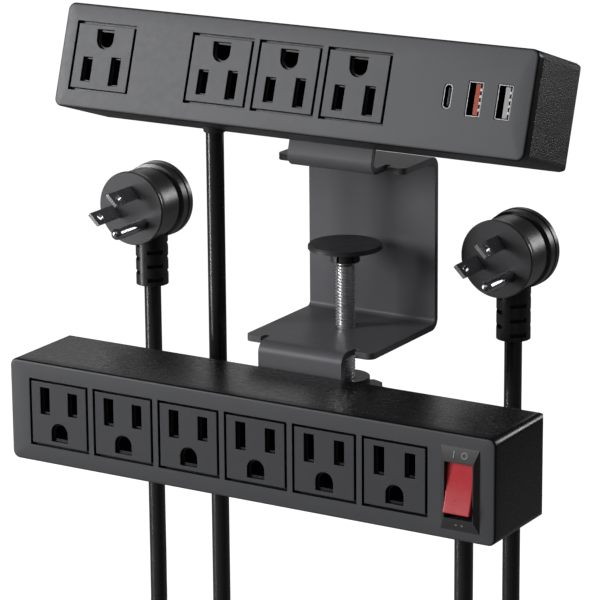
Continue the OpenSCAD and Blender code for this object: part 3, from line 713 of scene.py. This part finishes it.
class STRIP_OT_bars(bpy.types.Operator):
    """Covers and housings of both bars"""
    bl_idname = "strip.bars"
    bl_label = "Bars"

    def execute(self, context):
        colours, sizes = context.scene.strip_colours, context.scene.strip_sizes
        # The upper cover's grey holds painted light: it is set lighter than the lower cover's
        upper_grey = face_plastic("upper_cover_grey", tuple(colours.upper_cover), *UPPER_PLANE)
        lower_grey = face_plastic("lower_cover_grey", tuple(colours.lower_cover), *LOWER_PLANE)
        rounded_cover("upper_cover", upper_grey, on_upper(), sizes.cover_edge, sizes.fine_edge)
        rounded_cover("lower_cover", lower_grey, on_lower(), sizes.cover_edge, sizes.fine_edge)
        softened("upper_housing", sand_textured("upper_housing_black", shade(colours.housing, 1.5)),
                 sizes.moulded_edge)
        softened("lower_housing", moulded("lower_housing_black", shade(colours.housing, 0.6), 0.28,
                                          0.5 * MM, 0.04 * MM, 0.3), sizes.moulded_edge)
        steel = turned_metal("case_screw_steel", (0.4, 0.4, 0.42), 0.3, "Y")
        paint("upper_case_screws", steel)
        paint("lower_case_screws", steel)
        return {"FINISHED"}


class STRIP_OT_outlets(bpy.types.Operator):
    """Outlets of both bars"""
    bl_idname = "strip.outlets"
    bl_label = "Outlets"

    def execute(self, context):
        colours, sizes = context.scene.strip_colours, context.scene.strip_sizes
        # The upper outlets take the upper cover's grey, its painted light included
        upper = face_plastic("upper_outlet_grey", shade(colours.upper_cover, 0.98), *UPPER_PLANE)
        lower = face_plastic("lower_outlet_grey", shade(colours.lower_cover, 0.78), *LOWER_PLANE)
        for k in range(UPPER_OUTLETS):
            softened(f"upper_outlet_{k + 1}", upper, sizes.fine_edge)
        for k in range(LOWER_OUTLETS):
            softened(f"lower_outlet_{k + 1}", lower, sizes.fine_edge)
        return {"FINISHED"}


class STRIP_OT_ports(bpy.types.Operator):
    """USB ports"""
    bl_idname = "strip.ports"
    bl_label = "USB ports"

    def execute(self, context):
        sizes = context.scene.strip_sizes
        steel = port_steel(*UPPER_PLANE)
        edge = sizes.fine_edge / 2
        for node in ("usb_c_port", "usb_a_port_1", "usb_a_port_2"):
            softened(node, steel, edge)
        softened("usb_c_tongue", polished("port_black", (0.01, 0.01, 0.01)), edge)
        tongues = (polished("port_orange", (0.42, 0.07, 0.03)),
                   polished("port_white", (0.42, 0.42, 0.43)))
        gold = polished("port_contacts", (0.85, 0.82, 0.74), 0.3)
        for k, x in enumerate(USB_A):
            softened(f"usb_a_tongue_{k + 1}", tongues[k], edge)
            pads = [placed(block(0.6, 1.0, 0.95, 8, 1.8, z), on_upper(x))
                    for z in (-3.6, -1.2, 1.2, 3.6)]
            contacts = new_piece(f"usb_a_contacts_{k + 1}", *joined(*pads), gold, "frame")
            rounded_edges(contacts, 0.08 * MM)
        return {"FINISHED"}


class STRIP_OT_switch(bpy.types.Operator):
    """Switch bezel and red rocker"""
    bl_idname = "strip.switch"
    bl_label = "Switch"

    def execute(self, context):
        colours, sizes = context.scene.strip_colours, context.scene.strip_sizes
        softened("switch_frame", polished("switch_black", (0.03, 0.03, 0.032), 0.35),
                 sizes.fine_edge)
        self.rocker(polished("rocker_red", tuple(colours.rocker), 0.28))
        self.marks(polished("mark_grey", (0.22, 0.22, 0.23), 0.4))
        paint("rocker_pin", turned_metal("pin_steel", (0.6, 0.6, 0.62), 0.3, "X"))
        return {"FINISHED"}

    def rocker(self, finish):
        """Rocker with a dished face, in the frame of its pivot."""
        half, rise, dish, wide = 9.4, 5.5, 0.8, 5.4
        steps = 8
        outline = [(-rise + dish * (1 - (k / steps) ** 2), half * k / steps)
                   for k in range(-steps, steps + 1)]
        outline += [(-rise + 2.5, half - 0.3), (1, 5.5), (4, 2.5), (4, -2.5), (1, -5.5),
                    (-rise + 2.5, 0.3 - half)]
        count = len(outline)
        verts = [(x, y, z) for x in (-wide, wide) for y, z in outline]
        faces = [tuple(range(count)), tuple(range(2 * count - 1, count - 1, -1))]
        faces += [(k, k + count, (k + 1) % count + count, (k + 1) % count) for k in range(count)]
        place = (on_lower(*SWITCH) @ Matrix.Translation((0, PIVOT_DEPTH, 0))
                 @ Matrix.Rotation(ROCKER_TILT, 4, "X"))
        piece = new_piece("rocker_dished", *placed((verts, faces), place), finish, "rocker")
        rounded_edges(piece, 0.5 * MM, 3)
        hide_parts("switch_rocker")

    def marks(self, finish):
        """Plain ring and bar raised on the bezel's upper slope, two dots on its lower one."""
        upper = (on_lower(SWITCH[0], SWITCH[1] + 13.4) @ Matrix.Translation((0, -0.85, 0))
                 @ Matrix.Rotation(-BEZEL_SLOPE, 4, "X"))
        lower = (on_lower(SWITCH[0], SWITCH[1] - 12.8) @ Matrix.Translation((0, -0.9, 0))
                 @ Matrix.Rotation(BEZEL_SLOPE, 4, "X"))
        ring_place = (upper @ Matrix.Translation((2.1, 0, 0))
                      @ Matrix.Rotation(math.radians(90), 4, "X"))
        ring = placed(lathe([(1.25, -0.1), (1.25, 0.12), (0.9, 0.12), (0.9, -0.1)], 32,
                            Matrix.Identity(4)), ring_place)
        parts = [ring, placed(block(0.4, 2.6, -0.12, 0.1, -2.1, 0), upper)]
        parts += [placed(block(0.7, 0.7, -0.1, 0.1, x, 0), lower) for x in (-1.2, 1.2)]
        new_piece("switch_marks", *joined(*parts), finish, "frame")


class STRIP_OT_plugs(bpy.types.Operator):
    """Plugs, boots, strain reliefs and cord ties"""
    bl_idname = "strip.plugs"
    bl_label = "Plugs"

    def execute(self, context):
        colours, sizes = context.scene.strip_colours, context.scene.strip_sizes
        body = moulded("plug_plastic", tuple(colours.plug), 0.32, 0.3 * MM, 0.012 * MM, 0.6)
        nickel = turned_metal("prong_nickel", (0.45, 0.45, 0.47), 0.22, "Y")
        soft = rubber("boot_rubber", shade(colours.cord, 1.3), 0.3, 0.55)
        tie = moulded("tie_plastic", (0.01, 0.01, 0.01), 0.5)
        for side in ("left", "right"):
            softened(f"{side}_plug_body", body, sizes.moulded_edge)
            softened(f"{side}_plug_prongs", nickel, sizes.fine_edge)
            softened(f"{side}_plug_boot", soft, sizes.fine_edge)
        for bar in ("upper", "lower"):
            softened(f"{bar}_strain_relief", soft, sizes.fine_edge)
            softened(f"{bar}_cord_tie", tie, sizes.fine_edge)
        return {"FINISHED"}


class STRIP_OT_insides(bpy.types.Operator):
    """Finishes of the pieces inside the bars"""
    bl_idname = "strip.insides"
    bl_label = "Insides"

    def execute(self, context):
        brass = turned_metal("contact_brass", (0.6, 0.42, 0.15), 0.3, "X")
        for bar in ("upper", "lower"):
            for name in ("live", "neutral", "ground"):
                paint(f"{bar}_{name}_bar", brass)
        paint("switch_terminals", brass)
        board = circuit_board()
        paint("usb_charger_board", board)
        paint("lower_surge_board", board)
        jacket = rubber("wire_jacket", (0.03, 0.03, 0.03), 0.4)
        paint("upper_wires", jacket)
        paint("lower_wires", jacket)
        return {"FINISHED"}


class STRIP_PT_panel(bpy.types.Panel):
    """Sizes, colours and building steps"""
    bl_label = "Power strip"
    bl_space_type = "VIEW_3D"
    bl_region_type = "UI"
    bl_category = "Power strip"

    def draw(self, context):
        for settings in (getattr(context.scene, name) for name in GROUPS):
            box = self.layout.box()
            for key in settings.__annotations__:
                box.prop(settings, key)
        for operator in OPERATORS:
            self.layout.operator(operator.bl_idname)


GROUPS = {"strip_colours": StripColours, "strip_sizes": StripSizes, "strip_stage": StageSettings}
OPERATORS = (STRIP_OT_stage, STRIP_OT_cords, STRIP_OT_bracket, STRIP_OT_clamp, STRIP_OT_bars,
             STRIP_OT_outlets, STRIP_OT_ports, STRIP_OT_switch, STRIP_OT_plugs, STRIP_OT_insides)


def register():
    for kind in (*GROUPS.values(), *OPERATORS, STRIP_PT_panel):
        bpy.utils.register_class(kind)
    for name, kind in GROUPS.items():
        setattr(bpy.types.Scene, name, bpy.props.PointerProperty(type=kind))


def unregister():
    for name in GROUPS:
        delattr(bpy.types.Scene, name)
    for kind in reversed((*GROUPS.values(), *OPERATORS, STRIP_PT_panel)):
        bpy.utils.unregister_class(kind)


def main():
    register()
    bpy.ops.strip.stage()
    bpy.ops.strip.cords()
    bpy.ops.strip.bracket()
    bpy.ops.strip.clamp()
    bpy.ops.strip.bars()
    bpy.ops.strip.outlets()
    bpy.ops.strip.ports()
    bpy.ops.strip.switch()
    bpy.ops.strip.plugs()
    bpy.ops.strip.insides()


if __name__ == "__main__":
    main()
